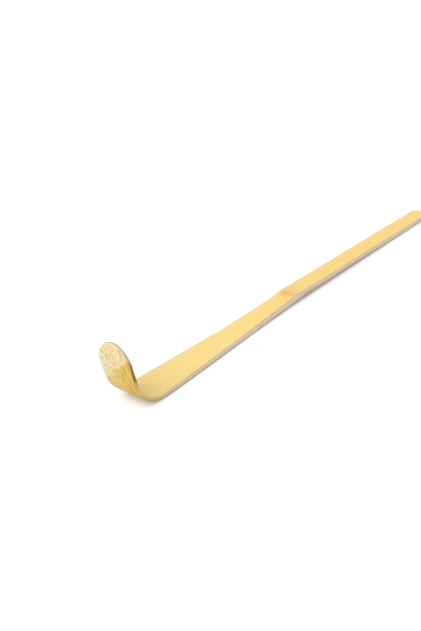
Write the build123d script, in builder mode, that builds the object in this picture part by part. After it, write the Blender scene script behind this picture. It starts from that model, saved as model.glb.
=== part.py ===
"""Bamboo tea scoop (chashaku): one slip of bamboo, tapered, hollowed under its node and bent up at the tip.

Millimetres. X runs from the cut end to the scoop and Z is up. The scoop lies skin side up, with its planed
underside on the plane Z = 0, and the origin is on that plane, under the middle of the overall length.
"""

import os
from math import cos, pi, radians, sin

from build123d import *

os.makedirs("parts", exist_ok=True)

# Lengths along the skin, from the cut end to the tip
tail_to_node = 81.3
node_to_bend = 69.4
tip_length = 14.5

# Widths across the slip, and how far past the start of the bend it is still flaring
tail_width = 5.5
node_width = 5.8
scoop_width = 11.6
flare_past_bend = 11.0

# Heights of the skin above the table, along the middle of the slip
tail_height = 2.2
node_height = 3.76
bend_height = 2.4

# The node: a low ring left standing on the skin, the step down on its scoop side with the gentler fall
# from there, and the shallow hollow carved under it
ring_rise = 0.15
ring_length = 8.0
node_step = 0.5
node_step_length = 8.0
node_fall_length = 36.0
hollow_depth = 0.3
hollow_length = 52.0

# The bend, made over heat, the gentler curve from there to the tip, and how soon the slip thins towards it
bend_radius = 13.0
bend_turn = 63.0
tip_turn = 18.0
tip_thickness = 1.25
thinning_power = 1.5

# Cross-section: the round of the stem on the skin, a flatter round on the back, and eased edges beside the skin,
# which take no more than their share of the side's height
skin_round_radius = 60.0
back_round_radius = 75.0
edge_ease = 0.25
edge_ease_limit_share = 0.25

# The rounded edges beside the back, as shares of the side's height: wide over the belly, which runs from the cut
# end towards the node, and narrow from where it has faded
belly_length = 50.0
belly_fade_length = 42.0
belly_share = 0.65
flat_share = 0.25

# Ends: rounded corners on the cut end, and a tip that is rounded and has a bevelled rim. Both rounds are wider
# than the slip by a slight shoulder on each side
tail_corner_radius = 2.0
tail_shoulder = 0.05
tip_round_length = 7.6
tip_shoulder = 0.12
rim_bevel = 0.3

# Stock planed off the underside, and how far a cutter runs past the wood
planing_depth = 0.2
overrun = 3.0

# Steps between the cross-sections of each stretch
handle_steps = 8
ring_steps = 6
fall_steps = 8
flat_steps = 3
bend_steps = 8
tip_steps = 4

# What follows from the sizes above
bend_start = tail_to_node + node_to_bend
bend_end = bend_start + bend_radius * radians(bend_turn)
tip_end = bend_end + tip_length
tip_radius = tip_length / radians(tip_turn)
steepest = radians(bend_turn + tip_turn)
bend_reach = bend_radius * sin(radians(bend_turn))
tip_reach = tip_radius * (sin(steepest) - sin(radians(bend_turn)))
overall_length = bend_start + bend_reach + tip_reach + tip_thickness * sin(steepest)
tail_x = -overall_length / 2


def ease(share):
    """Goes from 0 to 1 with a level start and a level end."""
    share = min(max(share, 0), 1)
    return share * share * (3 - 2 * share)


def hump(distance, length):
    """A smooth hump: 1 in its middle, and 0 from half its length to either side."""
    return (1 + cos(2 * pi * distance / length)) / 2 if abs(distance) < length / 2 else 0


def width_at(station):
    """Width of the slip: nearly even up to the node, then flaring out to the scoop."""
    if station < tail_to_node:
        return tail_width + (node_width - tail_width) * station / tail_to_node
    flare = ease((station - tail_to_node) / (node_to_bend + flare_past_bend))
    return node_width + (scoop_width - node_width) * flare


def handle_height_at(station):
    """Height of the handle's skin: up to the node, over its ring, and down to the bend."""
    if station < tail_to_node:
        line = tail_height + (node_height - tail_height) * station / tail_to_node
    else:
        past = station - tail_to_node
        line = node_height - node_step * ease(past / node_step_length)
        line += (bend_height + node_step - node_height) * ease(past / node_fall_length)
    return line + ring_rise * hump(station - tail_to_node, ring_length)


def skin_at(station):
    """Place and slope of the skin's middle line: x, z, and the turn from level in radians."""
    if station <= bend_start:
        return tail_x + station, handle_height_at(station), 0
    turn = min((station - bend_start) / bend_radius, radians(bend_turn))
    x = tail_x + bend_start + bend_radius * sin(turn)
    z = bend_height + bend_radius * (1 - cos(turn))
    if station > bend_end:
        start_turn = turn
        turn = start_turn + (station - bend_end) / tip_radius
        x += tip_radius * (sin(turn) - sin(start_turn))
        z += tip_radius * (cos(start_turn) - cos(turn))
    return x, z, turn


def thickness_at(station):
    """Thickness through the middle, before the underside is planed."""
    if station <= bend_start:
        hollow = (hollow_depth + planing_depth) * hump(station - tail_to_node, hollow_length)
        return handle_height_at(station) + planing_depth - hollow
    heel_thickness = bend_height + planing_depth
    left = max(tip_end - station, 0) / (tip_end - bend_start)
    return tip_thickness + (heel_thickness - tip_thickness) * left**thinning_power


def back_round_at(station, side_height):
    """Radius of the rounded edges beside the back."""
    faded = ease((station - belly_length) / belly_fade_length)
    return side_height * (belly_share + (flat_share - belly_share) * faded)


def steps_between(start, end, count):
    """Evenly spaced stations after start, up to and with end."""
    return [start + (end - start) * (step + 1) / count for step in range(count)]


# Where the cross-sections stand: closer together over the node's ring and round the bend
ring_start = tail_to_node - ring_length / 2
ring_end = tail_to_node + ring_length / 2
fall_end = tail_to_node + node_fall_length
stations = [-overrun]
stations += steps_between(-overrun, ring_start, handle_steps)
stations += steps_between(ring_start, ring_end, ring_steps)
stations += steps_between(ring_end, fall_end, fall_steps)
stations += steps_between(fall_end, bend_start, flat_steps)
stations += steps_between(bend_start, bend_end, bend_steps)
stations += steps_between(bend_end, tip_end + overrun, tip_steps)

with BuildPart() as tea_scoop:
    # The bent slip, lofted through cross-sections square to its skin
    for station in stations:
        x, z, turn = skin_at(station)
        thickness = thickness_at(station)
        half_width = width_at(station) / 2
        skin_drop = half_width**2 / (2 * skin_round_radius)
        back_drop = half_width**2 / (2 * back_round_radius)
        side_height = thickness - skin_drop - back_drop
        eased = min(edge_ease, edge_ease_limit_share * side_height)
        rounded = back_round_at(station, side_height)
        reach = rounded * (1 - cos(pi / 4))
        foot = back_drop - thickness
        right_side = [
            (half_width - eased, -skin_drop),
            (half_width, -skin_drop - eased),
            (half_width, foot + rounded),
            (half_width - reach, foot + reach),
            (half_width - rounded, foot),
        ]
        left_side = [(-across, out) for across, out in right_side]
        with BuildSketch(Plane(origin=(x, 0, z), x_dir=(0, 1, 0), z_dir=(cos(turn), 0, sin(turn)))):
            with BuildLine():
                ThreePointArc(left_side[0], (0, 0), right_side[0])
                Polyline(right_side)
                ThreePointArc(right_side[-1], (0, -thickness), left_side[-1])
                Polyline(left_side)
            make_face()
    loft()

    # The underside, planed so that the scoop lies flat on a land at each end of the handle
    split(bisect_by=Plane.XY, keep=Keep.TOP)

    # The cut end, sawn square and rounded at its two corners
    with BuildSketch(Plane.XY.offset(-overrun)):
        with Locations((tail_x + tail_corner_radius / 2 - overrun, 0)):
            Rectangle(tail_corner_radius + 2 * overrun, tail_width + 2 * overrun)
        with Locations((tail_x + 2 * tail_corner_radius, 0)):
            RectangleRounded(
                4 * tail_corner_radius, tail_width + 2 * tail_shoulder, tail_corner_radius, mode=Mode.SUBTRACT
            )
    extrude(amount=tail_height + 2 * overrun, mode=Mode.SUBTRACT)

    # The tip, rounded by cutting away what lies outside half an ellipse
    tip_x, tip_z, tip_lean = skin_at(tip_end)
    tip_back = Plane(origin=(tip_x, 0, tip_z), x_dir=(0, 1, 0), z_dir=(sin(tip_lean), 0, -cos(tip_lean)))
    with BuildSketch(tip_back.offset(-overrun)):
        with Locations((0, overrun - tip_round_length / 2)):
            Rectangle(scoop_width + 2 * overrun, tip_round_length + 2 * overrun)
        with Locations((0, -tip_round_length)):
            Ellipse(scoop_width / 2 + tip_shoulder, tip_round_length, rotation=180, mode=Mode.SUBTRACT)
    extrude(amount=tip_thickness + 2 * overrun, mode=Mode.SUBTRACT)

    # The tip's rim, bevelled on both faces
    rim_edges = tea_scoop.faces().sort_by(Axis.Z)[-1].edges().sort_by(SortBy.LENGTH)[-2:]
    chamfer(rim_edges, length=min(rim_bevel, edge_ease_limit_share * tip_thickness))

tea_scoop.part.label = "tea_scoop"
export_step(tea_scoop.part, "parts/tea_scoop.step")
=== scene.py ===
"""Bamboo tea scoop: one slip of bamboo, carved, bent over heat and polished, shown on a plain white table.

Metres, in the frame's axes: +X from the cut end to the scoop, +Z up, and the table is at Z = 0.
"""

from math import cos, pi, radians, sin, tan

import bpy
import numpy as np
from mathutils import Matrix, Quaternion, Vector


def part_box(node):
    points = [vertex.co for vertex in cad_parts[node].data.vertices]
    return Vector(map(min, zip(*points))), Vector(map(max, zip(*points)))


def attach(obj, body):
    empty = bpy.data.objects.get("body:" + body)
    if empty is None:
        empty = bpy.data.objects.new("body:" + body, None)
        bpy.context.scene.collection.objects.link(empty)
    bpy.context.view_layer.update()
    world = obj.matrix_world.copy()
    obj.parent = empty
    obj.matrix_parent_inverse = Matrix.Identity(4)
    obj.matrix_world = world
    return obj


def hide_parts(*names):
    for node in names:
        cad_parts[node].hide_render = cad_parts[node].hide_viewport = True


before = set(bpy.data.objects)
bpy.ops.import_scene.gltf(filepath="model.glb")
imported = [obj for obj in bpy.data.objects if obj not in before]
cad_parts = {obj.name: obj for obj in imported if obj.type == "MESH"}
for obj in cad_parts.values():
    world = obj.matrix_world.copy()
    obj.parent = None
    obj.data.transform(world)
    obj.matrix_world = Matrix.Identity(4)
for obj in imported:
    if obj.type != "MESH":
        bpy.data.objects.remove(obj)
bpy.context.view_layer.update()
SCOOP_NODE = "tea_scoop"
TAIL_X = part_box(SCOOP_NODE)[0].x

bl_info = {
    "name": "Bamboo Tea Scoop",
    "version": (1, 0, 0),
    "blender": (4, 5, 0),
    "location": "View3D > Sidebar > Tea Scoop",
    "description": "A carved bamboo tea scoop with its grain, node and bend, on a plain table",
    "category": "Add Mesh",
}

MM = 0.001

# The camera: the photograph's longer side in pixels, and the sensor's width in millimetres
PHOTO_LONG_SIDE = 631
SENSOR = 36.0

# What the mesh carries for its material: each point's place in the wood, how it was cut, and a flat sheet
GRAIN = "grain"
CUT = "cut"
BAKE_MAP = "OFBake"

# The flat sheet: the share of the slip's length that one lane holds, and the gap between lanes
LANE_SHARE = 0.53
LANE_GAP = 0.6 * MM

# The noise in the relief: its random values each way, and a seed for each use
NOISE_VALUES = 64
SIDE_SEED = 5
SCAR_SEED = 3
STROKE_SEED = 11
FLATS_SEED = 8
RIDGES_SEED = 14
SWAY_SEED = 21

# The noise in the colours: how long, wide and deep its patches are
SKIN_PATCHES = (14 * MM, 2.6 * MM, 2 * MM)
SCAR_PATCHES = (3 * MM, 0.9 * MM, 1 * MM)
BLUSH_PATCHES = (4 * MM, 1.6 * MM, 2 * MM)
HEAT_PATCHES = (7 * MM, 1.2 * MM, 1.5 * MM)


def length(name, description, millimetres):
    """A size that a user can change."""
    return bpy.props.FloatProperty(
        name=name,
        description=description,
        default=millimetres * MM,
        min=0,
        precision=5,
        subtype="DISTANCE",
        unit="LENGTH",
    )


def angle(name, description, degrees):
    """An angle that a user can change."""
    return bpy.props.FloatProperty(
        name=name, description=description, default=radians(degrees), subtype="ANGLE", unit="ROTATION"
    )


def share(name, description, default):
    """A plain number from 0 to 1 that a user can change."""
    return bpy.props.FloatProperty(name=name, description=description, default=default, min=0, max=1)


def count(name, description, default, least):
    """A whole number that a user can change."""
    return bpy.props.IntProperty(name=name, description=description, default=default, min=least)


def colour(name, description, code):
    """A colour that a user can change, given by its six hex digits."""
    return bpy.props.FloatVectorProperty(
        name=name, description=description, default=linear(code), size=3, min=0, max=1, subtype="COLOR"
    )


def linear(code):
    """Linear red, green and blue of a colour written as six hex digits."""
    shares = [int(code[i : i + 2], 16) / 255 for i in (0, 2, 4)]
    return tuple(c / 12.92 if c <= 0.04045 else ((c + 0.055) / 1.055) ** 2.4 for c in shares)


class ScoopSizes(bpy.types.PropertyGroup):
    """Sizes of the slip, measured along its skin and across it."""

    tail_to_node: length("Tail to node", "From the cut end to the node", 81.3)
    node_to_bend: length("Node to bend", "From the node to the start of the bend", 69.4)
    tip_length: length("Tip length", "From the end of the bend to the tip", 14.45)
    tail_width: length("Tail width", "Width at the cut end", 5.5)
    node_width: length("Node width", "Width at the node", 5.8)
    scoop_width: length("Scoop width", "Width of the scoop", 11.6)
    flare_past_bend: length("Flare past bend", "How far into the bend it still flares", 11)
    tail_height: length("Tail height", "Height of the skin at the cut end", 2.2)
    node_height: length("Node height", "Height of the skin at the node, under its ring", 3.76)
    bend_height: length("Bend height", "Height of the skin before the bend", 2.4)
    node_fall: length("Node fall", "Length of the skin's fall from the node", 36)
    node_step: length("Node step", "How far the skin steps down past the node", 0.5)
    node_step_length: length("Node step length", "Length of the step past the node", 8)
    ring_rise: length("Ring rise", "Height of the node's ring", 0.15)
    ring_length: length("Ring length", "Length of the ring along the slip", 8)
    hollow_depth: length("Hollow depth", "Depth of the hollow under the node", 0.3)
    hollow_length: length("Hollow length", "Length of the hollow under the node", 52)
    bend_radius: length("Bend radius", "Radius of the skin in the bend", 13)
    bend_turn: angle("Bend turn", "Angle of the bend", 63)
    tip_turn: angle("Tip turn", "Further angle from the bend to the tip", 18)
    tip_thickness: length("Tip thickness", "Thickness in the middle of the tip", 1.25)
    thinning_power: bpy.props.FloatProperty(
        name="Thinning power", description="How soon the slip thins past the bend", default=1.5, min=0.5
    )
    tip_round: length("Tip round", "Length over which the tip is rounded", 7.6)
    tip_shoulder: length("Tip shoulder", "How far the tip's round would pass the sides", 0.12)
    tail_corner: length("Tail corner", "Radius of the cut end's corners", 2)
    skin_round: length("Skin round", "Radius across the skin", 60)
    back_round: length("Back round", "Radius across the carved back", 75)
    planing_depth: length("Planing depth", "Stock planed off the underside", 0.2)
    skin_edge: length("Skin edge", "Radius of the edge beside the skin", 0.3)
    skin_edge_limit: share("Skin edge limit", "Most of the side's height that this may take", 0.25)
    belly_length: length("Belly length", "How far from the cut end the belly is full", 50)
    belly_fade: length("Belly fade", "Length over which the belly flattens", 42)
    belly_share: share("Belly share", "Share of the side's height that the belly takes", 0.65)
    flat_share: share("Flat share", "Share that the back's round takes past the belly", 0.25)


class CarvingSizes(bpy.types.PropertyGroup):
    """Sizes of the small relief: the scar on the node and what the knife left."""

    scar_place: length("Scar place", "How far past the ring's middle the scar lies", 1.1)
    scar_slant: angle("Scar slant", "How far the scar is out of square", -2)
    scar_rise: length("Scar rise", "Height of the scar's thin lip", 0.03)
    scar_width: length("Scar width", "Width of the scar's lip along the slip", 0.9)
    scar_bow: length("Scar bow", "How far the scar's middle bows backwards", 0.25)
    scar_break: length("Scar break", "Length of the lip's broken pieces", 1.1)
    groove_depth: length("Groove depth", "Depth of the groove beside the lip", 0.03)
    knife_depth: length("Knife depth", "Depth of the knife's flats on the back", 0.07)
    knife_length: length("Knife length", "Length of one knife flat", 13)
    knife_width: length("Knife width", "Width of one knife flat", 2.2)
    ridge_length: length("Ridge length", "Length of the finer ridges in the flats", 5)
    ridge_width: length("Ridge width", "Width of the finer ridges in the flats", 0.8)
    side_waver: length("Side waver", "How far the cut sides waver inwards", 0.06)
    skin_sway: length("Skin sway", "How far the skin sways inwards on average", 0.02)
    land_ease: length("Land ease", "How softly the planed lands begin", 0.03)
    columns: count("Columns", "Faces across the slip", 56, 8)
    wall_rows: count("Wall rows", "Faces down the cut sides", 6, 2)
    coarse_step: length("Coarse step", "Length of the faces along the handle", 0.55)
    bend_step: length("Bend step", "Length of the faces round the bend", 0.32)
    fine_step: length("Fine step", "Length of the faces at the node", 0.1)
    fine_reach: length("Fine reach", "How far from the node the faces stay that fine", 1.5)
    end_step: length("End step", "Length of the faces at both ends", 0.02)
    growth: share("Growth", "How fast the faces grow away from the node and the ends", 0.14)


class GrainSizes(bpy.types.PropertyGroup):
    """Sizes of what shows in the wood: fibres, borders, the node's marks and the browned bend."""

    line_length: length("Line length", "Length of the fine lines in the skin", 30)
    line_width: length("Line width", "Width of the fine lines in the skin", 0.22)
    streak_length: length("Streak length", "Length of the streaks in the flesh", 9)
    streak_width: length("Streak width", "Width of the streaks in the flesh", 0.35)
    dash_length: length("Dash length", "Length of the dashes on the carved back", 2.8)
    dash_width: length("Dash width", "Width of the dashes on the carved back", 0.28)
    fleck_length: length("Fleck length", "Length of the smaller dashes", 1.6)
    fleck_width: length("Fleck width", "Width of the smaller dashes", 0.2)
    paling_start: length("Paling start", "Where the skin starts to pale", 65)
    paling_end: length("Paling end", "Where the skin is at its palest", 135)
    tint_before: length("Tint before", "How far the node's tint reaches backwards", 6.5)
    tint_after: length("Tint after", "How far the node's tint reaches forwards", 8)
    scar_before: length("Scar before", "How far the scar's colour reaches backwards", 2)
    scar_after: length("Scar after", "How far the scar's colour reaches forwards", 2.5)
    scar_ragged: length("Scar ragged", "How far the ends of the tint and the scar waver", 1.4)
    # Paler borders: partly paler wood where the edge is eased, partly a painted highlight
    pale_sheen_width: length("Pale width", "Width of the skin's paler borders", 0.8)
    # Painted sheen and shade: the greyer band along the far edge of the skin
    far_sheen_width: length("Grey width", "Width of the greyer border on one side", 1.9)
    # Painted shade: the thin darker line along the far edge
    edge_shade_reach: length("Line reach", "Width of the darker line on that side", 0.45)
    skin_depth: length("Skin depth", "How deep the skin's colour goes on the tip", 0.04)
    handle_skin: length("Handle skin", "How much deeper it goes on the handle", 0.26)
    dense_depth: length("Dense depth", "How deep the dense fibres under the skin go", 1.1)
    # Painted shade: the darker foot of the cut sides stands in for the shadow where they meet the table
    foot_shade_height: length("Foot height", "Height of the darker foot of the cut sides", 1.2)
    foot_shade_extra: length("Foot extra", "How much higher it is before the node", 1.2)
    heat_before: length("Heat before", "How far before the bend the browning starts", 3)
    heat_past: length("Heat past", "How far past the bend the browning goes", 6)
    heat_cloud: length("Heat cloud", "How far its slanting border wavers", 3)
    # Painted shade lies in the darker lip, and together with heat browning in the scorched rim
    rim_width: length("Rim width", "Width of the scorched rim and the darker lip", 0.4)
    fibre_relief: length("Fibre relief", "How far single fibres stand up", 0.03)


class BambooColours(bpy.types.PropertyGroup):
    """Colours of the dried bamboo, and of the light and shade painted on it."""

    skin: colour("Skin", "Smooth outer skin", "FEDA7C")
    skin_peach: colour("Warm skin", "Warmer patches in the skin", "FFD283")
    skin_straw: colour("Straw skin", "Greener patches in the skin", "F8DE78")
    skin_ahead: colour("Skin ahead", "Paler skin towards the scoop", "FFE28E")
    # Partly paler wood where the edge is eased, partly a painted highlight along both edges
    pale_border_sheen: colour("Skin border", "Paler skin along both edges", "F4E0AC")
    # Painted sheen and shade along the far edge of the skin
    far_sheen_and_shade: colour("Grey border", "Broader greyish band on one side", "E4DCB0")
    # Painted shade: the thin darker line along the far edge and round the tip
    edge_shade: colour("Dark edge", "Thin darker line on that side and round the tip", "B09A66")
    under_skin: colour("Under the skin", "Dense fibres under the skin", "FDE0AA")
    side_flesh: colour("Side flesh", "Flesh on the cut sides", "FFEACA")
    # Painted shade at the foot of the cut sides, where they meet the table
    side_foot_shade: colour("Side foot", "Darker foot of the cut sides", "B59B82")
    flesh: colour("Flesh", "Pale flesh on the carved back", "FFEEB8")
    # Painted sheen: whiter flesh near the far edge of the back, for the light it catches there
    flesh_sheen: colour("Pale flesh", "Bleached flesh near one edge of the back", "FCF6DA")
    fibre: colour("Fibre", "Fine lines in the skin, and streaks in the flesh", "B99C5E")
    dash: colour("Dash", "Bundles of fibre that the knife cut across", "B0844A")
    blush: colour("Blush", "Faint pink tint in the flesh", "F9D0A2")
    # Partly a brown tint, partly painted shade of the groove beside the scar
    scar: colour("Scar", "Soft line across the node", "E0AE60")
    node_tint: colour("Node tint", "Broad warm tint round the node", "FBCC7E")
    tan: colour("Tan", "Where the heat of bending browned it", "EFC850")
    vein: colour("Vein", "Darker streaks in the browned part", "C08A2C")
    # Heat browning on the tip's near flank, darkened further as painted shade
    scorch_and_shade: colour("Scorch", "Where the heat browned it most", "754A06")


class StageSettings(bpy.types.PropertyGroup):
    """The table, the light and the camera."""

    table: colour("Table", "Colour of the table", "FEFEFF")
    table_lift: share("Table lift", "How much brighter the table shows", 0.17)
    table_bounce: share("Table bounce", "How much of its light the table gives back to the scoop", 0.75)
    lift_tint: colour("Lift tint", "Colour of that lift, which cools the shadows", "C8DCFF")
    table_size: length("Table size", "Side of the table", 6000)
    sky: share("Sky", "Light from all round", 0.5)
    lamp: share("Lamp", "Light from the overhead lamp: it and the sky make 1", 0.5)
    lamp_lean: angle("Lamp lean", "How far the lamp is from straight overhead", 42)
    lamp_side: angle("Lamp side", "Compass side of the lamp, from +X to +Y", 4)
    lamp_spread: angle("Lamp spread", "Angle that the lamp fills, seen from the table", 50)
    camera_rise: angle("Camera rise", "Angle of the camera above the table", 28.07)
    camera_side: angle("Camera side", "Compass side of the camera, from +X to +Y", 36.69)
    camera_roll: angle("Camera roll", "Roll of the camera", 0.33)
    camera_distance: length("Camera distance", "From the camera to where it looks", 532.95)
    camera_focus: bpy.props.FloatProperty(
        name="Focal length", description="In pixels of the photograph", default=1713.7, min=1
    )
    aim: bpy.props.FloatVectorProperty(
        name="Aim",
        description="Where on the table it looks",
        default=(0.01919, -0.01419, 0),
        subtype="TRANSLATION",
        unit="LENGTH",
    )


def ease(part):
    """Goes from 0 to 1 with a level start and a level end."""
    part = np.clip(part, 0, 1)
    return part * part * (3 - 2 * part)


def hump(distance, width):
    """A smooth hump: 1 in its middle, and 0 from half its width to either side."""
    return np.where(abs(distance) < width / 2, (1 + np.cos(2 * pi * distance / width)) / 2, 0)


def peak(distance, width):
    """A narrow smooth peak, about as wide as its width."""
    return np.exp(-((2 * distance / width) ** 2))


def crowned(across, radius):
    """How far a round of that radius has dropped, at a place across the slip."""
    return across**2 / (2 * radius)


def quarter_round(inside, radius):
    """How far an eased edge has dropped, at a distance inside the outline."""
    reach = np.clip(radius - inside, 0, radius)
    return radius - np.sqrt(np.maximum(radius**2 - reach**2, 0))


def waver(along, across, seed):
    """Smooth noise from -1 to 1, with one random value at each whole number of its two coordinates."""
    table = np.random.default_rng(seed).uniform(-1, 1, (NOISE_VALUES, NOISE_VALUES))
    row, column = np.floor(along).astype(int), np.floor(across).astype(int)
    down, over = ease(along - row), ease(across - column)
    ends = []
    for step in (0, 1):
        near = table[(row + step) % NOISE_VALUES, column % NOISE_VALUES]
        far = table[(row + step) % NOISE_VALUES, (column + 1) % NOISE_VALUES]
        ends.append(near * (1 - over) + far * over)
    return ends[0] * (1 - down) + ends[1] * down


class Slip:
    """The shape of the slip, by the distance along its skin and the place across it."""

    def __init__(self, sizes, carving):
        self.sizes = sizes
        self.carving = carving
        self.bend_start = sizes.tail_to_node + sizes.node_to_bend
        self.bend_end = self.bend_start + sizes.bend_radius * sizes.bend_turn
        self.tip_end = self.bend_end + sizes.tip_length
        self.tip_radius = sizes.tip_length / sizes.tip_turn
        self.tip_centre = self.tip_end - sizes.tip_round
        self.tip_half = sizes.scoop_width / 2 + sizes.tip_shoulder

    def half_width(self, along):
        """Half the width, before the ends were rounded."""
        size = self.sizes
        straight = size.tail_width + (size.node_width - size.tail_width) * along / size.tail_to_node
        flare = ease((along - size.tail_to_node) / (size.node_to_bend + size.flare_past_bend))
        flared = size.node_width + (size.scoop_width - size.node_width) * flare
        return np.where(along < size.tail_to_node, straight, flared) / 2

    def handle_height(self, along):
        """Height of the skin's middle line over the handle."""
        size = self.sizes
        rise = size.tail_height + (size.node_height - size.tail_height) * along / size.tail_to_node
        past = along - size.tail_to_node
        lower = size.bend_height + size.node_step - size.node_height
        fallen = size.node_height - size.node_step * ease(past / size.node_step_length)
        fallen = fallen + lower * ease(past / size.node_fall)
        line = np.where(past < 0, rise, fallen)
        return line + size.ring_rise * hump(along - size.tail_to_node, size.ring_length)

    def skin_line(self, along):
        """Place of the skin's middle line, and its turn from level."""
        size = self.sizes
        turn = np.clip((along - self.bend_start) / size.bend_radius, 0, size.bend_turn)
        steeper = turn + np.maximum(along - self.bend_end, 0) / self.tip_radius
        on_handle = np.minimum(along, self.bend_start)
        x = TAIL_X + on_handle + size.bend_radius * np.sin(turn)
        x = x + self.tip_radius * (np.sin(steeper) - np.sin(turn))
        height = self.handle_height(on_handle) + size.bend_radius * (1 - np.cos(turn))
        height = height + self.tip_radius * (np.cos(turn) - np.cos(steeper))
        return x, height, steeper

    def thickness(self, along):
        """Thickness through the middle, before the underside is planed."""
        size = self.sizes
        hollow = hump(along - size.tail_to_node, size.hollow_length)
        hollow = hollow * (size.hollow_depth + size.planing_depth)
        handle = self.handle_height(along) + size.planing_depth - hollow
        heel = size.bend_height + size.planing_depth
        left = np.clip((self.tip_end - along) / (self.tip_end - self.bend_start), 0, 1)
        thinned = size.tip_thickness + (heel - size.tip_thickness) * left**size.thinning_power
        return np.where(along <= self.bend_start, handle, thinned)

    def side_height(self, along):
        """Height of the cut side, before its edges are rounded."""
        return self.thickness(along) - self.crown(self.half_width(along))

    def skin_edge(self, along):
        """Radius of the edge beside the skin."""
        return np.minimum(self.sizes.skin_edge, self.sizes.skin_edge_limit * self.side_height(along))

    def back_edge(self, along):
        """Radius of the edge beside the back: so wide on the handle that it is a belly, then narrower."""
        size = self.sizes
        flattened = ease((along - size.belly_length) / size.belly_fade)
        part = size.belly_share + (size.flat_share - size.belly_share) * flattened
        return part * self.side_height(along)

    def crown(self, across):
        """How far the skin's and the back's rounds across the slip together thin it."""
        return crowned(across, self.sizes.skin_round) + crowned(across, self.sizes.back_round)

    def inside(self, along, across):
        """Distance in from the outline. It is true near the outline."""
        size = self.sizes
        past_corner = size.tail_corner - along
        beside_corner = abs(across) - (self.half_width(along) - size.tail_corner)
        outer = np.hypot(np.maximum(past_corner, 0), np.maximum(beside_corner, 0))
        box = size.tail_corner - outer - np.minimum(np.maximum(past_corner, beside_corner), 0)
        forward = np.maximum(along - self.tip_centre, 0) / size.tip_round
        sideways = across / self.tip_half
        steepness = 2 * np.hypot(forward / size.tip_round, sideways / self.tip_half)
        oval = (1 - forward**2 - sideways**2) / np.maximum(steepness, 1 / size.tip_round)
        return np.maximum(np.where(forward > 0, np.minimum(box, oval), box), 0)

    def stations(self):
        """Where the rows of faces stand: closer together at the node, round the bend and at both ends."""
        carve = self.carving
        places = [0.0]
        while places[-1] < self.tip_end:
            at = places[-1]
            from_node = abs(at - self.sizes.tail_to_node) - carve.fine_reach
            from_end = min(at, self.tip_end - at)
            steps = [
                carve.coarse_step,
                carve.bend_step + carve.growth * max(self.bend_start - at, 0),
                carve.fine_step + carve.growth * max(from_node, 0) / 2,
                carve.end_step + carve.growth * from_end,
            ]
            places.append(at + min(steps))
        return np.array(places) * self.tip_end / places[-1]

    def grid(self):
        """Distances along and across of every point of the net, whose rows bend to meet both ends."""
        size = self.sizes
        rows = self.stations()[:, None]
        columns = np.sin(np.linspace(-pi / 2, pi / 2, self.carving.columns + 1))[None, :]
        across = columns * self.half_width(rows)
        corner = np.clip(abs(across) - (self.half_width(rows) - size.tail_corner), 0, size.tail_corner)
        from_tail = size.tail_corner - np.sqrt(np.maximum(size.tail_corner**2 - corner**2, 0))
        sideways = columns * size.scoop_width / 2 / self.tip_half
        from_tip = size.tip_round * (1 - np.sqrt(np.maximum(1 - sideways**2, 0)))
        slant = np.tan(self.carving.scar_slant) * hump(rows - size.tail_to_node, 3 * size.ring_length)
        along = rows + from_tail * self.lag(rows, 3 * size.tail_corner)
        along = along - from_tip * self.lag(self.tip_end - rows, 2 * size.tip_round) + slant * across
        across = columns * (self.half_width(along) - self.side_cut(along, columns))
        return along, across

    def lag(self, distance, reach):
        """How much the rows still bend at a distance from an end, from 1 to 0."""
        return np.clip(1 - distance / reach, 0, 1) ** 1.3

    def side_cut(self, along, side):
        """How far the knife went in past the straight side, with its own lane of noise on each side."""
        carve = self.carving
        wave = waver(along / carve.knife_length * 1.3, np.sign(side) * 7.5 + 20, SIDE_SEED)
        return carve.side_waver * (0.5 + 0.5 * wave) * abs(side)

    def node_relief(self, along, across):
        """The scar on the node's ring: a broken thin lip, a groove past it and a fainter one before it."""
        carve = self.carving
        width = carve.scar_width
        bow = carve.scar_bow * (1 - (across / (self.sizes.node_width / 2)) ** 2)
        past = along - self.sizes.tail_to_node - carve.scar_place - np.tan(carve.scar_slant) * across + bow
        broken = 0.75 + 0.25 * waver(across / carve.scar_break + 9, across * 0, SCAR_SEED)
        lip = carve.scar_rise * peak(past, width) * broken
        groove = carve.groove_depth * peak(past - 0.75 * width, 0.8 * width)
        fainter = 0.5 * carve.groove_depth * peak(past + 1.6 * width, 1.4 * width)
        return lip - groove - fainter

    def knife_flats(self, along, across):
        """Depth of the long shallow flats that the knife left on the back, and of the ridges in them."""
        carve = self.carving
        stroke = waver(along / (9 * MM), across / (3 * MM), STROKE_SEED)
        bent = along / carve.knife_length + 0.35 * stroke
        flats = waver(bent + 3, across / carve.knife_width + 20 + 0.2 * bent, FLATS_SEED)
        ridges = waver(along / carve.ridge_length, across / carve.ridge_width + 31, RIDGES_SEED)
        return carve.knife_depth * (0.5 + 0.4 * flats + 0.1 * ridges)

    def skin_surface(self, along, across):
        """Points of the skin, and their depth under the stem's own surface."""
        eased = quarter_round(self.inside(along, across), self.skin_edge(along))
        drop = eased - self.node_relief(along, across)
        sway = self.carving.skin_sway * (1 + waver(along / (16 * MM), across / (4 * MM) + 40, SWAY_SEED))
        return self.place(along, across, -crowned(across, self.sizes.skin_round) - drop - sway), drop

    def back_surface(self, along, across):
        """Points of the carved back, planed flat where it rests, and their depth under the skin."""
        size = self.sizes
        eased = quarter_round(self.inside(along, across), self.back_edge(along))
        carved = crowned(across, size.back_round) + eased + self.knife_flats(along, across)
        depth = self.thickness(along) - carved
        points = self.place(along, across, -depth)
        height = points[..., 2]
        soft = self.carving.land_ease
        planed = (height + np.sqrt(height**2 + soft**2)) / 2 - soft / 2
        points[..., 2] = np.maximum(planed, 0)
        return points, depth - crowned(across, size.skin_round)

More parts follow.
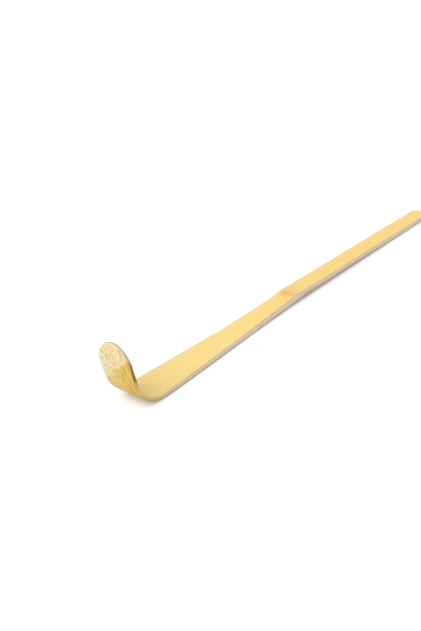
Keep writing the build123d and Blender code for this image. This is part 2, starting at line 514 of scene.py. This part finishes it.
    def place(self, along, across, out):
        """Points in the frame, at a distance out from the skin's middle line."""
        x, height, turn = self.skin_line(along)
        return np.stack([x - out * np.sin(turn), across + 0 * x, height + out * np.cos(turn)], -1)


def ring_of(rows, columns):
    """Row and column of each point round the border of the net, anticlockwise from above."""
    down = [(r, 0) for r in range(rows - 1)]
    over = [(rows - 1, c) for c in range(columns - 1)]
    back = [(r, columns - 1) for r in range(rows - 1, 0, -1)]
    home = [(0, c) for c in range(columns - 1, 0, -1)]
    return np.array(down + over + back + home)


def listed(*values):
    """Three values for each point, as a plain list of points."""
    return np.stack(values, -1).reshape(-1, 3)


def bamboo_mesh(slip):
    """The whole slip as one closed mesh: skin, back, and the cut sides between them."""
    along, across = slip.grid()
    rows, columns = along.shape
    skin, skin_depth = slip.skin_surface(along, across)
    back, back_depth = slip.back_surface(along, across)
    inside = slip.inside(along, across)
    carved = ease(inside / slip.back_edge(along))
    wood = slip.thickness(along) - slip.crown(across)
    ring = ring_of(rows, columns)
    edge = (ring[:, 0], ring[:, 1])
    rim = ring[:, 0] * columns + ring[:, 1]

    points = [skin.reshape(-1, 3)]
    grain = [listed(along, across, skin_depth)]
    cut = [listed(inside, 0 * inside, wood - skin_depth)]
    levels = [rim]
    used = rows * columns
    wall_rows = slip.carving.wall_rows
    for step in range(1, wall_rows):
        down = step / wall_rows
        depth = skin_depth[edge] * (1 - down) + back_depth[edge] * down
        points.append(skin[edge] * (1 - down) + back[edge] * down)
        grain.append(listed(along[edge], across[edge], depth))
        cut.append(listed(0 * depth, 0 * depth, wood[edge] - depth))
        levels.append(used + np.arange(len(ring)))
        used += len(ring)
    points.append(back.reshape(-1, 3))
    grain.append(listed(along, across, back_depth))
    cut.append(listed(inside, carved, wood - back_depth))
    levels.append(used + rim)

    first = (np.arange(rows - 1)[:, None] * columns + np.arange(columns - 1)[None, :]).ravel()
    top = np.stack([first, first + columns, first + columns + 1, first + 1], -1)
    faces = [top, top[:, ::-1] + used]
    for upper, lower in zip(levels[:-1], levels[1:]):
        faces.append(np.stack([upper, lower, np.roll(lower, -1), np.roll(upper, -1)], -1))
    mesh = bpy.data.meshes.new("bamboo_scoop")
    mesh.from_pydata(np.concatenate(points).tolist(), [], np.concatenate(faces).tolist())
    sheet = bake_sheet(slip, along, across, top, skin[edge])
    mesh.uv_layers.new(name=BAKE_MAP).uv.foreach_set("vector", sheet.astype(np.float32).ravel())
    for name, values in ((GRAIN, grain), (CUT, cut)):
        mesh.attributes.new(name, "FLOAT_VECTOR", "POINT")
        mesh.attributes[name].data.foreach_set("vector", np.concatenate(values).astype(np.float32).ravel())
    mesh.shade_smooth()
    return mesh


def bake_sheet(slip, along, across, top, rim):
    """Where each corner of each face lies on a flat sheet from 0 to 1: skin, back and sides, in lanes."""
    lane_length = LANE_SHARE * slip.tip_end
    wide = 2 * slip.tip_half + LANE_GAP
    tall = slip.sizes.node_height + slip.sizes.ring_rise + LANE_GAP
    lanes = int(np.ceil(1 / LANE_SHARE))

    at, over = along.ravel(), across.ravel()
    lane = np.floor(at[top[:, :1]] / lane_length)
    skin = np.stack([at[top] - lane * lane_length, (lane + 0.5) * wide + over[top]], -1)
    back = skin[:, ::-1] + [0, lanes * wide]

    steps = np.linalg.norm(np.roll(rim, -1, axis=0) - rim, axis=1)
    ends = np.cumsum(steps)
    starts = ends - steps
    lane = np.floor(starts / lane_length)
    starts, ends = starts - lane * lane_length, ends - lane * lane_length
    lanes_up = 2 * lanes * wide + lane * tall
    wall_rows = slip.carving.wall_rows
    sides = []
    for row in range(wall_rows):
        upper = lanes_up + (tall - LANE_GAP) * row / wall_rows
        lower = lanes_up + (tall - LANE_GAP) * (row + 1) / wall_rows
        corners = [(starts, upper), (starts, lower), (ends, lower), (ends, upper)]
        sides.append(np.stack([np.stack(corner, -1) for corner in corners], 1))
    sheet = np.concatenate([skin, back, *sides]).reshape(-1, 2)
    low, high = sheet.min(0), sheet.max(0)
    margin = LANE_GAP / (high - low) / 2
    return margin + (1 - 2 * margin) * (sheet - low) / (high - low)


class Wires:
    """Adds nodes to a node tree and joins them. A value is a number, a colour or another node's socket."""

    def __init__(self, tree):
        self.tree = tree

    def feed(self, socket, value):
        """Joins a socket to another, or sets it."""
        if isinstance(value, bpy.types.NodeSocket):
            self.tree.links.new(value, socket)
        elif socket.type == "RGBA":
            socket.default_value = (*value, 1)
        else:
            socket.default_value = value

    def add(self, kind, inputs=(), **settings):
        """A node of that kind, with its settings, and its inputs by name or place."""
        node = self.tree.nodes.new(kind)
        for key, value in settings.items():
            setattr(node, key, value)
        for key, value in dict(inputs).items():
            self.feed(node.inputs[key], value)
        return node

    def math(self, operation, *values, clamp=False):
        """One sum of plain numbers."""
        node = self.add("ShaderNodeMath", enumerate(values), operation=operation, use_clamp=clamp)
        return node.outputs[0]

    def vector(self, operation, *values):
        """One sum of vectors."""
        return self.add("ShaderNodeVectorMath", enumerate(values), operation=operation).outputs[0]

    def product(self, *masks):
        """Several masks or plain numbers, each times the next."""
        result = masks[0]
        for mask in masks[1:]:
            result = self.math("MULTIPLY", result, mask)
        return result

    def between(self, part, first, second):
        """A number between two others."""
        return self.add("ShaderNodeMix", {0: part, 2: first, 3: second}).outputs[0]

    def mix(self, mask, first, second, strength=1.0):
        """The first colour, turned into the second as far as the mask and the strength let it."""
        if strength < 1:
            mask = self.product(mask, strength)
        return self.add("ShaderNodeMix", {0: mask, 6: first, 7: second}, data_type="RGBA").outputs[2]

    def band(self, value, start, end, low=0.0, high=1.0):
        """Goes smoothly from low at start to high at end."""
        inputs = {"Value": value, "From Min": start, "From Max": end, "To Min": low, "To Max": high}
        return self.add("ShaderNodeMapRange", inputs, interpolation_type="SMOOTHSTEP").outputs[0]

    def hill(self, value, foot, top, far_top, far_foot):
        """Goes smoothly from 0 at one foot to 1 at the top, and down to 0 again at the far foot."""
        return self.product(self.band(value, foot, top), self.band(value, far_foot, far_top))

    def noise(self, vector, scale, detail=2.0, roughness=0.5):
        """Smooth noise from about 0.3 to 0.7."""
        inputs = {"Vector": vector, "Scale": scale, "Detail": detail, "Roughness": roughness}
        return self.add("ShaderNodeTexNoise", inputs).outputs["Fac"]

    def patches(self, vector, size, detail=2.0):
        """Smooth noise in patches of that size: along, across and deep."""
        return self.noise(self.vector("DIVIDE", vector, size), 1.0, detail)

    def attribute(self, name):
        """The three numbers that the mesh carries under that name."""
        vector = self.add("ShaderNodeAttribute", attribute_name=name).outputs["Vector"]
        return vector, self.add("ShaderNodeSeparateXYZ", {0: vector}).outputs

    def seen(self):
        """1 where the camera looks directly, in a reflection or through something clear."""
        path = self.add("ShaderNodeLightPath").outputs
        direct = self.math("MAXIMUM", path["Is Camera Ray"], path["Is Glossy Ray"])
        return self.math("MAXIMUM", direct, path["Is Transmission Ray"])


def fibres_group():
    """Long fine fibres along the slip: streaks, and the cut ends and dashes of fibre bundles."""
    tree = bpy.data.node_groups.new("Bamboo Fibres", "ShaderNodeTree")
    tree.interface.new_socket(name="Grain", in_out="INPUT", socket_type="NodeSocketVector")
    for name in ("Length", "Width", "Share", "Seed"):
        tree.interface.new_socket(name=name, in_out="INPUT", socket_type="NodeSocketFloat")
    for name in ("Streaks", "Bundles"):
        tree.interface.new_socket(name=name, in_out="OUTPUT", socket_type="NodeSocketFloat")
    wires = Wires(tree)
    given = wires.add("NodeGroupInput").outputs
    out = wires.add("NodeGroupOutput").inputs
    size = wires.add("ShaderNodeCombineXYZ", {0: given["Length"], 1: given["Width"], 2: given["Width"]})
    seed = wires.add("ShaderNodeCombineXYZ", {0: given["Seed"]})
    scaled = wires.vector("DIVIDE", given["Grain"], size.outputs[0])
    shifted = wires.vector("ADD", scaled, seed.outputs[0])
    wires.feed(out["Streaks"], wires.band(wires.noise(shifted, 1.0, 3.0, 0.6), 0.32, 0.68))
    cells = wires.add("ShaderNodeTexVoronoi", {"Vector": shifted, "Scale": 1.0})
    chance = wires.add("ShaderNodeSeparateColor", {0: cells.outputs["Color"]}).outputs[0]
    chosen = wires.math("LESS_THAN", chance, given["Share"])
    reach = wires.math("MULTIPLY_ADD", chance, 0.25, 0.3)
    bundle = wires.band(cells.outputs["Distance"], reach, 0.12)
    wires.feed(out["Bundles"], wires.product(bundle, chosen))
    return tree


def new_material(name):
    """A new material with an empty node tree."""
    material = bpy.data.materials.new(name)
    material.use_nodes = True
    material.node_tree.nodes.clear()
    return material


class Bamboo(Wires):
    """The bamboo's nodes: its colours, by where a point lies in the slip and how it was cut."""

    def __init__(self, tree, scene, slip):
        super().__init__(tree)
        self.slip = slip
        self.sizes = scene.grain_sizes
        self.colours = scene.bamboo_colours
        self.grain, (self.along, self.across, self.depth) = self.attribute(GRAIN)
        self.inside, self.carved, self.left = self.attribute(CUT)[1]
        self.handle = self.band(self.along, slip.bend_end, slip.bend_start)

        size = self.sizes
        group = fibres_group()
        self.lines = self.fibres(group, size.line_length, size.line_width, 0.5)["Streaks"]
        self.streaks, self.bundles = self.fibres(group, size.streak_length, size.streak_width, 0.7)
        dashes = self.fibres(group, size.dash_length, size.dash_width, 1.0)["Bundles"]
        flecks = self.fibres(group, size.fleck_length, size.fleck_width, 1.0, 31.0)["Bundles"]
        spots = self.math("MAXIMUM", dashes, self.product(flecks, 0.7))
        self.spots = self.product(spots, self.carved)
        self.past_scar = self.distance_past_scar()
        self.tint = self.node_tint()
        self.past_border = self.distance_past_border()
        self.tanned = self.heat_of_bending()

    def fibres(self, group, along, across, part, seed=0.0):
        """Fibres of one length and width: streaks, and the bundles in them that the knife cut."""
        inputs = {"Grain": self.grain, "Length": along, "Width": across, "Share": part, "Seed": seed}
        return self.add("ShaderNodeGroup", inputs, node_tree=group).outputs

    def uneven(self, distance, patch, amount):
        """A distance, wavering by that amount in patches of that size."""
        cloud = self.patches(self.grain, patch, 3.0)
        return self.math("ADD", distance, self.math("MULTIPLY_ADD", cloud, amount, -amount / 2))

    def distance_past_scar(self):
        """Distance past the scar on the node, towards the scoop, made uneven."""
        carve = self.slip.carving
        slanted = self.product(self.across, tan(carve.scar_slant))
        past = self.math("SUBTRACT", self.along, self.slip.sizes.tail_to_node + carve.scar_place)
        return self.uneven(self.math("SUBTRACT", past, slanted), SCAR_PATCHES, self.sizes.scar_ragged)

    def node_tint(self):
        """Where the broad warm tint round the node lies: a little more on one side."""
        size = self.sizes
        tint = self.hill(self.past_scar, -size.tint_before, -1.8 * MM, 0.8 * MM, size.tint_after)
        return self.product(tint, self.band(self.across, 3 * MM, -2 * MM, 0.75, 1.0))

    def distance_past_border(self):
        """Distance from the slanting border of the browned part, back towards the handle, made uneven."""
        border = self.math("ADD", self.across, self.slip.bend_end + self.sizes.heat_past)
        return self.uneven(self.math("SUBTRACT", border, self.along), HEAT_PATCHES, self.sizes.heat_cloud)

    def heat_of_bending(self):
        """Where the heat of bending browned the wood: most on one flank, and more in some streaks."""
        start = self.slip.bend_start
        tanned = self.product(
            self.band(self.along, start - self.sizes.heat_before, start + 6 * MM),
            self.band(self.past_border, -0.6 * MM, 2.6 * MM),
            self.band(self.across, -1.5 * MM, 2.0 * MM, 0.5, 1.0),
            self.band(self.depth, 0.3 * MM, 0.9 * MM),
        )
        streaky = self.math("MULTIPLY_ADD", self.streaks, 0.6, 0.6)
        return self.math("MULTIPLY", tanned, streaky, clamp=True)

    def skin(self):
        """The skin: soft patches, the finest of lines, paler towards the scoop, with marks, and borders
        that are partly painted sheen and shade.
        """
        size = self.sizes
        colours = self.colours
        broad = self.vector("DIVIDE", self.grain, SKIN_PATCHES)
        warm = self.band(self.noise(broad, 1.0), 0.38, 0.66)
        green = self.band(self.noise(self.vector("ADD", broad, (7, 3, 0)), 1.3), 0.5, 0.7)
        paling = self.band(self.along, size.paling_start, size.paling_end, 0.0, 0.85)
        skin = self.mix(warm, colours.skin, colours.skin_peach, 0.75)
        skin = self.mix(green, skin, colours.skin_straw, 0.5)
        skin = self.mix(paling, skin, colours.skin_ahead)
        skin = self.mix(self.lines, skin, colours.fibre, 0.1)

        # The node: a broad warm tint, and in it a soft line straight across: a brown tint, darkened with
        # painted shade of its groove
        scar = self.hill(self.past_scar, -size.scar_before, 0.1 * MM, 0.1 * MM, size.scar_after)
        scar = self.product(scar, self.band(self.inside, 0, 1.6 * MM, 0.3, 1.0))
        skin = self.mix(self.tint, skin, colours.node_tint)
        skin = self.mix(scar, skin, colours.scar, 0.75)

        # The borders: paler along both edges, partly paler wood where the edge is eased and partly a
        # painted highlight; along the far edge a greyer band of painted sheen and shade, with a thin
        # darker line of painted shade
        # Pale border: partly paler wood at the eased edge, partly painted highlight
        pale = self.band(self.inside, size.pale_sheen_width, 0.15 * MM, 0.0, 0.4)
        one_side = self.product(self.handle, self.band(self.across, -0.5 * MM, -1.5 * MM))
        # Painted sheen and shade: a greyer band along the far edge
        far_sheen = self.product(one_side, self.band(self.inside, size.far_sheen_width, 0.6 * MM, 0.0, 0.65))
        # Painted shade: a thin darker line along the far edge
        line = self.product(one_side, self.band(self.inside, size.edge_shade_reach, 0.12 * MM, 0.0, 0.25))
        skin = self.mix(pale, skin, colours.pale_border_sheen)
        skin = self.mix(far_sheen, skin, colours.far_sheen_and_shade)
        return self.mix(line, skin, colours.edge_shade)

    def flesh(self):
        """The flesh on the carved back: a painted sheen that makes it almost white near the far edge, with
        a pink tint and long streaks.
        """
        colours = self.colours
        # Painted sheen near the far edge of the back
        pale = self.band(self.across, -2.5 * MM, -5.5 * MM, 0.0, 0.7)
        pink = self.band(self.patches(self.grain, BLUSH_PATCHES), 0.5, 0.7)
        pink = self.product(pink, self.band(self.across, -3 * MM, 2 * MM, 0.4, 0.9))
        flesh = self.mix(pale, colours.flesh, colours.flesh_sheen)
        flesh = self.mix(pink, flesh, colours.blush)
        return self.mix(self.streaks, flesh, colours.fibre, 0.15)

    def cut_side(self):
        """The cut sides: dense fibres under the skin, thinning out into the flesh, and a darker foot of
        painted shade where they meet the table.
        """
        size = self.sizes
        colours = self.colours
        node = self.slip.sizes.tail_to_node
        dense = self.product(
            self.band(self.depth, size.dense_depth, 0.3 * MM),
            self.math("MULTIPLY_ADD", self.bundles, 0.45, 0.55),
        )
        # Painted shade: the foot darkens the lowest part of the sides, reaching higher before the node
        higher = self.hill(self.along, 15 * MM, 50 * MM, node - 8 * MM, node + 5 * MM)
        top = self.math("MULTIPLY_ADD", higher, size.foot_shade_extra, size.foot_shade_height)
        full = self.math("MULTIPLY_ADD", higher, 0.7 * MM, 0.2 * MM)
        foot = self.product(self.handle, self.band(self.left, top, full, 0.0, 0.75))
        side = self.mix(self.streaks, colours.side_flesh, colours.fibre, 0.2)
        side = self.mix(dense, side, colours.under_skin)
        return self.mix(foot, side, colours.side_foot_shade)

    def browned(self, wood):
        """The browned bend, with darker veins in it, and over it the dashes of the cut fibres."""
        colours = self.colours
        veins = self.product(
            self.tanned,
            self.band(self.streaks, 0.35, 0.9, 0.0, 0.55),
            self.band(self.across, 0, 3 * MM, 0.3, 1.0),
        )
        wood = self.mix(self.tanned, wood, colours.tan)
        wood = self.mix(veins, wood, colours.vein)
        dash = self.mix(self.tanned, colours.dash, colours.tan, 0.6)
        return self.mix(self.spots, wood, dash, 0.75)

    def rimmed(self, wood):
        """The tip's rim: a darker lip of painted shade beside the skin, and on one flank heat scorching
        darkened further by painted shade.
        """
        width = self.sizes.rim_width
        end = self.slip.bend_end
        # Painted shade: a darker lip along the tip's rim beside the skin
        lip = self.product(
            self.band(self.inside, width, 0.1 * MM),
            self.band(self.depth, 1.2 * MM, 0.15 * MM),
            self.band(self.along, end, end + 4 * MM),
        )
        # Scorched rim on the near flank: heat browning, darkened further by painted shade
        scorched_and_shaded = self.product(
            self.band(self.inside, width, 0.05 * MM),
            self.band(self.across, -2 * MM, 3 * MM),
            self.band(self.past_border, 0.8 * MM, 3.0 * MM, 0.15, 0.95),
            self.band(self.along, end + 1.5 * MM, end + 4 * MM),
            self.band(self.depth, 0.2 * MM, 0.6 * MM),
        )
        wood = self.mix(lip, wood, self.colours.edge_shade, 0.75)
        return self.mix(scorched_and_shaded, wood, self.colours.scorch_and_shade, 0.9)

    def wood(self):
        """All that shows where the skin is cut away, with the node's tint close under it."""
        wood = self.rimmed(self.browned(self.mix(self.carved, self.cut_side(), self.flesh())))
        shallow = self.product(self.tint, self.band(self.depth, 0.6 * MM, 0.25 * MM, 0.0, 0.7))
        return self.mix(shallow, wood, self.colours.node_tint)

    def below_skin(self):
        """0 in the skin and 1 in the wood under it."""
        size = self.sizes
        end = self.math("MULTIPLY_ADD", self.handle, size.handle_skin, size.skin_depth)
        return self.band(self.depth, end, self.math("MULTIPLY_ADD", end, 2, 0.12 * MM))


def bamboo_material(scene, slip):
    """Dried bamboo: a polished skin, and drier wood under it with fibres that stand up a little."""
    material = new_material("split_bamboo")
    bamboo = Bamboo(material.node_tree, scene, slip)
    below = bamboo.below_skin()
    satin = bamboo.math("MULTIPLY_ADD", bamboo.lines, 0.06, 0.36)
    dry = bamboo.math("MULTIPLY_ADD", bamboo.spots, 0.1, 0.75)
    skin_height = bamboo.product(bamboo.lines, 0.25)
    wood_height = bamboo.math("SUBTRACT", bamboo.product(bamboo.streaks, 0.5), bamboo.spots)
    relief = {
        "Height": bamboo.between(below, skin_height, wood_height),
        "Strength": 0.6,
        "Distance": scene.grain_sizes.fibre_relief,
    }
    inputs = {
        "Base Color": bamboo.mix(below, bamboo.skin(), bamboo.wood()),
        "Roughness": bamboo.between(below, satin, dry),
        "Specular IOR Level": 0.35,
        "IOR": 1.4,
        "Normal": bamboo.add("ShaderNodeBump", relief).outputs[0],
    }
    shader = bamboo.add("ShaderNodeBsdfPrincipled", inputs)
    bamboo.add("ShaderNodeOutputMaterial", {"Surface": shader.outputs[0]})
    return material


def table_material(settings):
    """A matt white table that can be looked through from below."""
    material = new_material("white_table")
    wires = Wires(material.node_tree)
    seen = wires.seen()
    darker = tuple(settings.table_bounce * c for c in settings.table)
    matt = wires.add("ShaderNodeBsdfDiffuse", {"Color": wires.mix(seen, darker, settings.table)})
    lift = wires.product(seen, settings.table_lift)
    glow = wires.add("ShaderNodeEmission", {"Color": settings.lift_tint, "Strength": lift})
    lifted = wires.add("ShaderNodeAddShader", {0: matt.outputs[0], 1: glow.outputs[0]})
    clear = wires.add("ShaderNodeBsdfTransparent")
    side = wires.add("ShaderNodeNewGeometry").outputs["Backfacing"]
    either = wires.add("ShaderNodeMixShader", {0: side, 1: lifted.outputs[0], 2: clear.outputs[0]})
    wires.add("ShaderNodeOutputMaterial", {"Surface": either.outputs[0]})
    return material


def white_world(settings):
    """Soft light from all round, which shows as white to the camera and in reflections."""
    world = bpy.data.worlds.new("studio")
    bpy.context.scene.world = world
    world.use_nodes = True
    world.node_tree.nodes.clear()
    wires = Wires(world.node_tree)
    strength = wires.math("MULTIPLY_ADD", wires.seen(), 1 - settings.sky, settings.sky)
    background = wires.add("ShaderNodeBackground", {"Color": (1, 1, 1), "Strength": strength})
    wires.add("ShaderNodeOutputWorld", {"Surface": background.outputs[0]})


def place_object(context, name, data):
    """A new object in the scene."""
    placed = bpy.data.objects.new(name, data)
    context.scene.collection.objects.link(placed)
    return placed


def towards(side, rise):
    """Unit vector to a compass side, from +X towards +Y, at an angle above the table."""
    return Vector((cos(side) * cos(rise), sin(side) * cos(rise), sin(rise)))


class TEASCOOP_OT_add_scoop(bpy.types.Operator):
    """Carve the slip of bamboo and give it its grain"""

    bl_idname = "tea_scoop.add_scoop"
    bl_label = "Add Bamboo Scoop"
    bl_options = {"REGISTER", "UNDO"}

    def execute(self, context):
        scene = context.scene
        slip = Slip(scene.scoop_sizes, scene.carving_sizes)
        scoop = place_object(context, "bamboo_scoop", bamboo_mesh(slip))
        scoop.data.materials.append(bamboo_material(scene, slip))
        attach(scoop, "root")
        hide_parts(SCOOP_NODE)
        return {"FINISHED"}


class TEASCOOP_OT_add_stage(bpy.types.Operator):
    """Lay the white table under the scoop and light it softly from above"""

    bl_idname = "tea_scoop.add_stage"
    bl_label = "Add Table and Light"
    bl_options = {"REGISTER", "UNDO"}

    def execute(self, context):
        settings = context.scene.stage_settings
        half = settings.table_size / 2
        mesh = bpy.data.meshes.new("table")
        corners = [(-half, -half, 0), (half, -half, 0), (half, half, 0), (-half, half, 0)]
        mesh.from_pydata(corners, [], [(0, 1, 2, 3)])
        mesh.materials.append(table_material(settings))
        table = place_object(context, "table", mesh)

        lamp = bpy.data.lights.new("overhead_lamp", "SUN")
        lamp.angle = settings.lamp_spread
        lamp.energy = settings.lamp * pi / cos(settings.lamp_lean)
        holder = place_object(context, "overhead_lamp", lamp)
        away = towards(settings.lamp_side, pi / 2 - settings.lamp_lean)
        holder.matrix_world = away.to_track_quat("Z", "Y").to_matrix().to_4x4()
        white_world(settings)
        context.scene.view_settings.view_transform = "Standard"
        return {"FINISHED"}


class TEASCOOP_OT_add_camera(bpy.types.Operator):
    """Look at the scoop as the photograph does"""

    bl_idname = "tea_scoop.add_camera"
    bl_label = "Add Camera"
    bl_options = {"REGISTER", "UNDO"}

    def execute(self, context):
        settings = context.scene.stage_settings
        data = bpy.data.cameras.new("camera")
        data.sensor_width = SENSOR
        data.lens = settings.camera_focus * SENSOR / PHOTO_LONG_SIDE
        data.clip_start = 0.01
        back = towards(settings.camera_side, settings.camera_rise)
        facing = back.to_track_quat("Z", "Y") @ Quaternion((0, 0, 1), settings.camera_roll)
        place = Vector(settings.aim) + back * settings.camera_distance
        camera = place_object(context, "camera", data)
        camera.matrix_world = Matrix.LocRotScale(place, facing, None)
        context.scene.camera = camera
        return {"FINISHED"}


class TEASCOOP_PT_panel(bpy.types.Panel):
    """Lists the scoop's operators and what they read"""

    bl_label = "Bamboo Tea Scoop"
    bl_space_type = "VIEW_3D"
    bl_region_type = "UI"
    bl_category = "Tea Scoop"

    def draw(self, context):
        layout = self.layout
        for operator in OPERATORS:
            layout.operator(operator.bl_idname)
        for name, group in GROUPS.items():
            box = layout.box()
            box.label(text=group.__doc__)
            for key in group.__annotations__:
                box.prop(getattr(context.scene, name), key)


GROUPS = {
    "scoop_sizes": ScoopSizes,
    "carving_sizes": CarvingSizes,
    "grain_sizes": GrainSizes,
    "bamboo_colours": BambooColours,
    "stage_settings": StageSettings,
}
OPERATORS = [TEASCOOP_OT_add_scoop, TEASCOOP_OT_add_stage, TEASCOOP_OT_add_camera]
CLASSES = [*GROUPS.values(), *OPERATORS, TEASCOOP_PT_panel]


def register():
    """Registers the classes, and hangs the settings on the scene."""
    for made in CLASSES:
        bpy.utils.register_class(made)
    for name, group in GROUPS.items():
        setattr(bpy.types.Scene, name, bpy.props.PointerProperty(type=group))


def unregister():
    """Takes them all away again."""
    for name in GROUPS:
        delattr(bpy.types.Scene, name)
    for made in reversed(CLASSES):
        bpy.utils.unregister_class(made)


def main():
    """Builds the scoop, the stage and the camera."""
    register()
    bpy.ops.tea_scoop.add_scoop()
    bpy.ops.tea_scoop.add_stage()
    bpy.ops.tea_scoop.add_camera()


if __name__ == "__main__":
    main()
